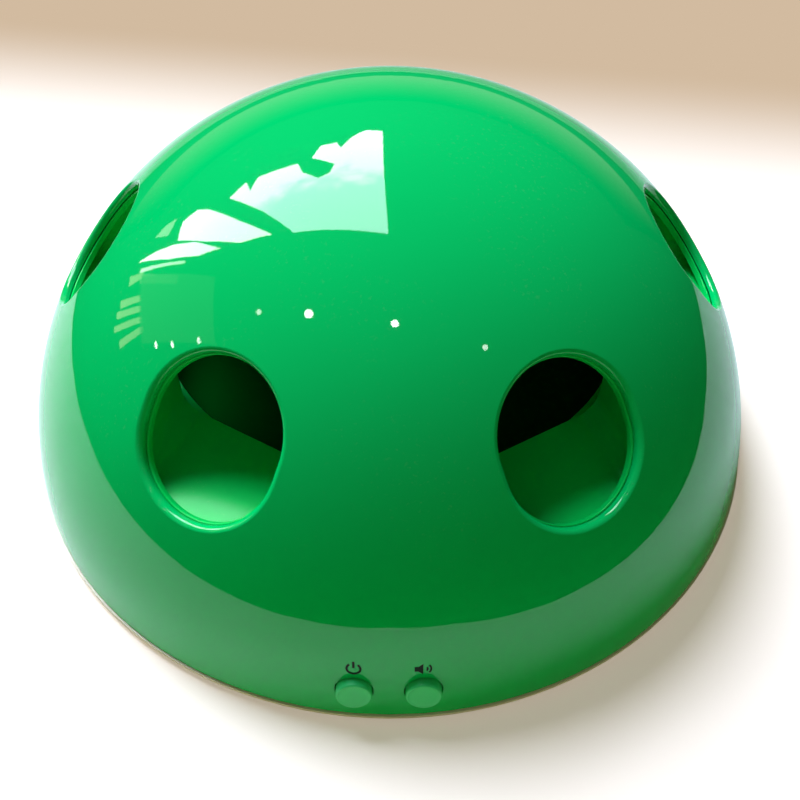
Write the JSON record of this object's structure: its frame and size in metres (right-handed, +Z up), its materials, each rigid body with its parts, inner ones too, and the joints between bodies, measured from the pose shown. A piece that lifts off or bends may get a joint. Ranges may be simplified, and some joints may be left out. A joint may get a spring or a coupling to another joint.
{
  "type": "robotic mouse cat toy",
  "caption": "Round dome cat toy with paw holes all round; inside, a motor-driven turntable carries a plush mouse that a rack pushes out through a hole and draws back.",
  "frame": {"origin": "middle of the footprint, on the surface that the rubber feet stand on", "axes": "+Z up along the dome's axis; -Y is the front, with the two buttons; +X is to the right seen from the front"},
  "size_m": [0.241, 0.241, 0.1072],
  "materials": {
    "green_shell": "glossy",
    "cream_base": "satin",
    "green_inner": "glossy",
    "black_plastic": "satin",
    "white_gear": "satin",
    "steel": "bright",
    "foot_rubber": "matte",
    "circuit_board": "satin",
    "copper": "bright",
    "mouse_plush": "matte",
    "mouse_felt": "matte",
    "mouse_eye": "glossy",
    "cell_jacket": "satin",
    "speaker_paper": "matte",
    "green_button": "glossy"
  },
  "bodies": {
    "base": {"base_plate": "cream_base", "dome_shell": "green_shell", "deck_plate": "green_inner", "chute_right": "green_inner", "chute_back_right": "green_inner", "chute_back_left": "green_inner", "chute_left": "green_inner", "chute_front_left": "green_inner", "chute_front_right": "green_inner", "rubber_feet": "foot_rubber", "case_screws": "steel", "deck_screws": "steel", "board_screws": "steel", "power_switch": "black_plastic", "sound_switch": "black_plastic", "button_board": "circuit_board", "main_board": "circuit_board", "board_chips": "black_plastic", "battery_box": "cream_base", "cell_front": "cell_jacket", "cell_middle": "cell_jacket", "cell_back": "cell_jacket", "battery_contacts": "steel", "speaker_frame": "black_plastic", "speaker_cone": "speaker_paper", "spindle": "steel", "thrust_washer": "steel", "slip_board": "circuit_board", "slip_tracks": "copper", "flat_motor": "steel", "idler_pin": "steel", "idler_clip": "steel", "spindle_clip": "steel"},
    "turntable": {"turntable": "black_plastic", "table_gear": "white_gear", "slip_brushes": "copper", "launcher_frame": "black_plastic", "mount_screws": "steel", "launch_axle": "steel", "launch_clip": "steel", "launch_motor": "steel", "launch_motor_clip": "steel"},
    "idler": {"idler_gear": "white_gear"},
    "motor_pinion": {"motor_pinion": "white_gear", "motor_shaft": "steel"},
    "launch_gear": {"launch_gear": "white_gear"},
    "launch_pinion": {"launch_pinion": "white_gear", "launch_shaft": "steel"},
    "mouse": {"rack_arm": "white_gear", "mouse_body": "mouse_plush", "mouse_ears": "mouse_felt", "mouse_eyes": "mouse_eye", "mouse_nose": "mouse_felt", "mouse_tail": "mouse_felt"},
    "power_button": {"power_button": "green_button", "power_plunger": "black_plastic"},
    "sound_button": {"sound_button": "green_button", "sound_plunger": "black_plastic"},
    "battery_door": {"battery_door": "cream_base", "door_screw": "steel"}
  },
  "joints": [
    {"name": "turntable_spin", "type": "hinge", "parent": "base", "child": "turntable", "pos_m": [0, 0, 0.028], "axis": [0, 0, 1], "continuous": true},
    {"name": "idler_spin", "type": "hinge", "parent": "base", "child": "idler", "pos_m": [-0.03524, -0.01283, 0.02], "axis": [0, 0, 1], "continuous": true},
    {"name": "motor_spin", "type": "hinge", "parent": "base", "child": "motor_pinion", "pos_m": [-0.04671, -0.02921, 0.018], "axis": [0, 0, 1], "continuous": true},
    {"name": "mouse_pop", "type": "slide", "parent": "turntable", "child": "mouse", "axis": [0.5, 0.866, 0], "range_m": [0, 0.0621]},
    {"name": "launch_gear_spin", "type": "hinge", "parent": "turntable", "child": "launch_gear", "pos_m": [0.004, 0.00693, 0.04508], "axis": [-0.866, 0.5, 0], "continuous": true},
    {"name": "launch_pinion_spin", "type": "hinge", "parent": "turntable", "child": "launch_pinion", "pos_m": [-0.00427, -0.0074, 0.03908], "axis": [-0.866, 0.5, 0], "continuous": true},
    {"name": "power_button_press", "type": "slide", "parent": "base", "child": "power_button", "axis": [0, 0.9744, -0.225], "range_m": [0, 0.0012], "stiffness_N_per_m": 800},
    {"name": "sound_button_press", "type": "slide", "parent": "base", "child": "sound_button", "axis": [0, 0.9744, -0.225], "range_m": [0, 0.0012], "stiffness_N_per_m": 800},
    {"name": "battery_door_swing", "type": "hinge", "parent": "base", "child": "battery_door", "pos_m": [0, 0.0811, 0.001], "axis": [1, 0, 0], "range_deg": [0, 70]}
  ],
  "couplings": [
    {"joint": "idler_spin", "follows": "turntable_spin", "ratio": -4},
    {"joint": "motor_spin", "follows": "turntable_spin", "ratio": 16},
    {"joint": "launch_gear_spin", "follows": "mouse_pop", "rad_per_m": 100},
    {"joint": "launch_pinion_spin", "follows": "mouse_pop", "rad_per_m": -340}
  ]
}
